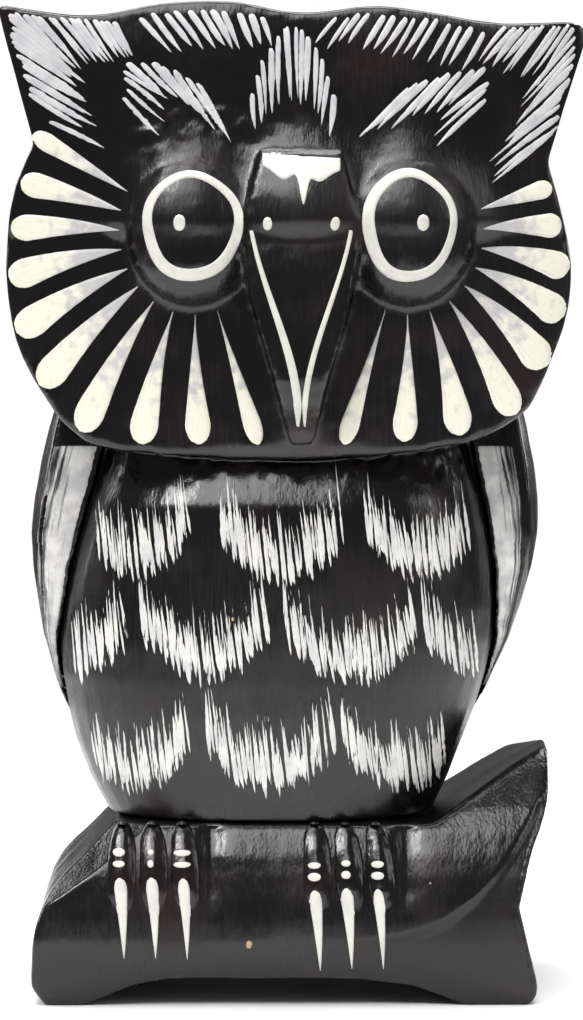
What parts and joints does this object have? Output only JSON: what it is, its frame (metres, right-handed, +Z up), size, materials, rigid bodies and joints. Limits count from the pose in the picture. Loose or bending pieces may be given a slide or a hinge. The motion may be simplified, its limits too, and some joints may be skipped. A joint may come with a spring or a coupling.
{
  "type": "carved wooden owl figurine",
  "caption": "Carved wooden owl with a wide eared head, domed eyes, a wedge beak and side wings, standing with carved toes on a log with one raised end.",
  "frame": {"origin": "on the surface that the log stands on, in the middle of the owl's width and depth", "axes": "+Z up, the face looks towards -Y, +X to the right as seen from the front"},
  "size_m": [0.1166, 0.0716, 0.2002],
  "materials": {
    "black_lacquered_wood": "carved wood under glossy near-black lacquer, with brushed cream and grey paint strokes",
    "bare_wood": "bare round dowel wood, inside the glued joints"
  },
  "bodies": {
    "root": {"log": "black_lacquered_wood", "body": "black_lacquered_wood", "head": "black_lacquered_wood", "beak": "black_lacquered_wood", "left_eye": "black_lacquered_wood", "right_eye": "black_lacquered_wood", "left_wing": "black_lacquered_wood", "right_wing": "black_lacquered_wood", "left_foot_left_toe": "black_lacquered_wood", "left_foot_middle_toe": "black_lacquered_wood", "left_foot_right_toe": "black_lacquered_wood", "right_foot_left_toe": "black_lacquered_wood", "right_foot_middle_toe": "black_lacquered_wood", "right_foot_right_toe": "black_lacquered_wood", "neck_dowel_left": "bare_wood", "neck_dowel_right": "bare_wood", "log_dowel_left": "bare_wood", "log_dowel_right": "bare_wood", "left_wing_upper_dowel": "bare_wood", "left_wing_lower_dowel": "bare_wood", "right_wing_upper_dowel": "bare_wood", "right_wing_lower_dowel": "bare_wood"}
  },
  "joints": []
}
